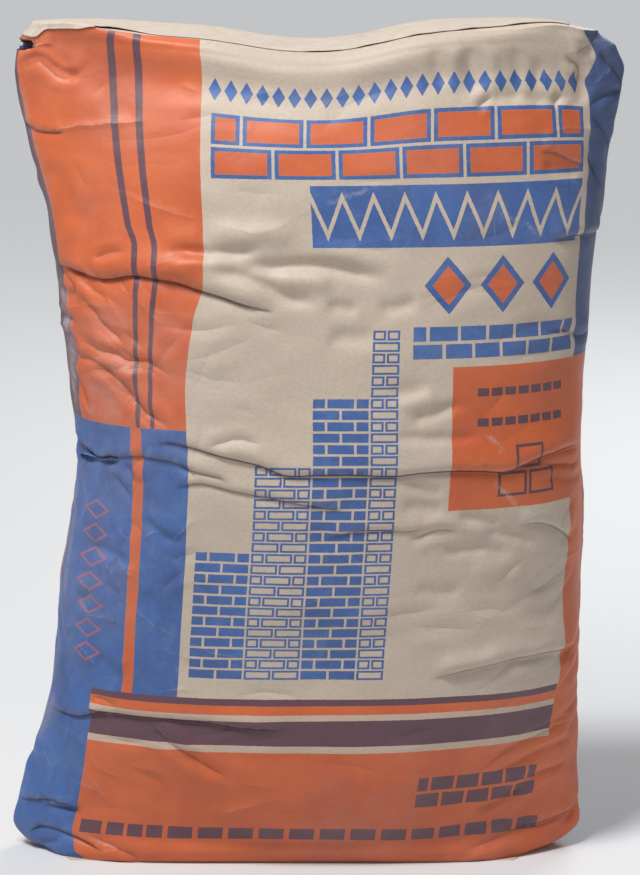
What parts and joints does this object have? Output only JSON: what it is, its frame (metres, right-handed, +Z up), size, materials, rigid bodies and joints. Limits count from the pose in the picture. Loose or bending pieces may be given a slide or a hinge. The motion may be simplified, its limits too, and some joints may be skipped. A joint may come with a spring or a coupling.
{
  "type": "cement bag",
  "caption": "Full paper valve sack of cement standing upright on its glued block bottom, with folded ends, end patches and a closed filling valve.",
  "frame": {"origin": "on the floor under the middle of the bag", "axes": "+Z up along the bag's height, +X across its width, the printed front faces -Y"},
  "size_m": [0.5011, 0.1927, 0.6908],
  "materials": {
    "kraft_paper": "matt printed kraft paper, creased and dusty",
    "cement_powder": "fine grey powder, packed",
    "patch_paper": "matt bare kraft paper",
    "valve_paper": "matt bare kraft paper"
  },
  "bodies": {
    "root": {"paper_sack": "kraft_paper", "cement_fill": "cement_powder", "top_end_patch": "patch_paper", "bottom_end_patch": "patch_paper", "valve_sleeve": "valve_paper"}
  },
  "joints": []
}
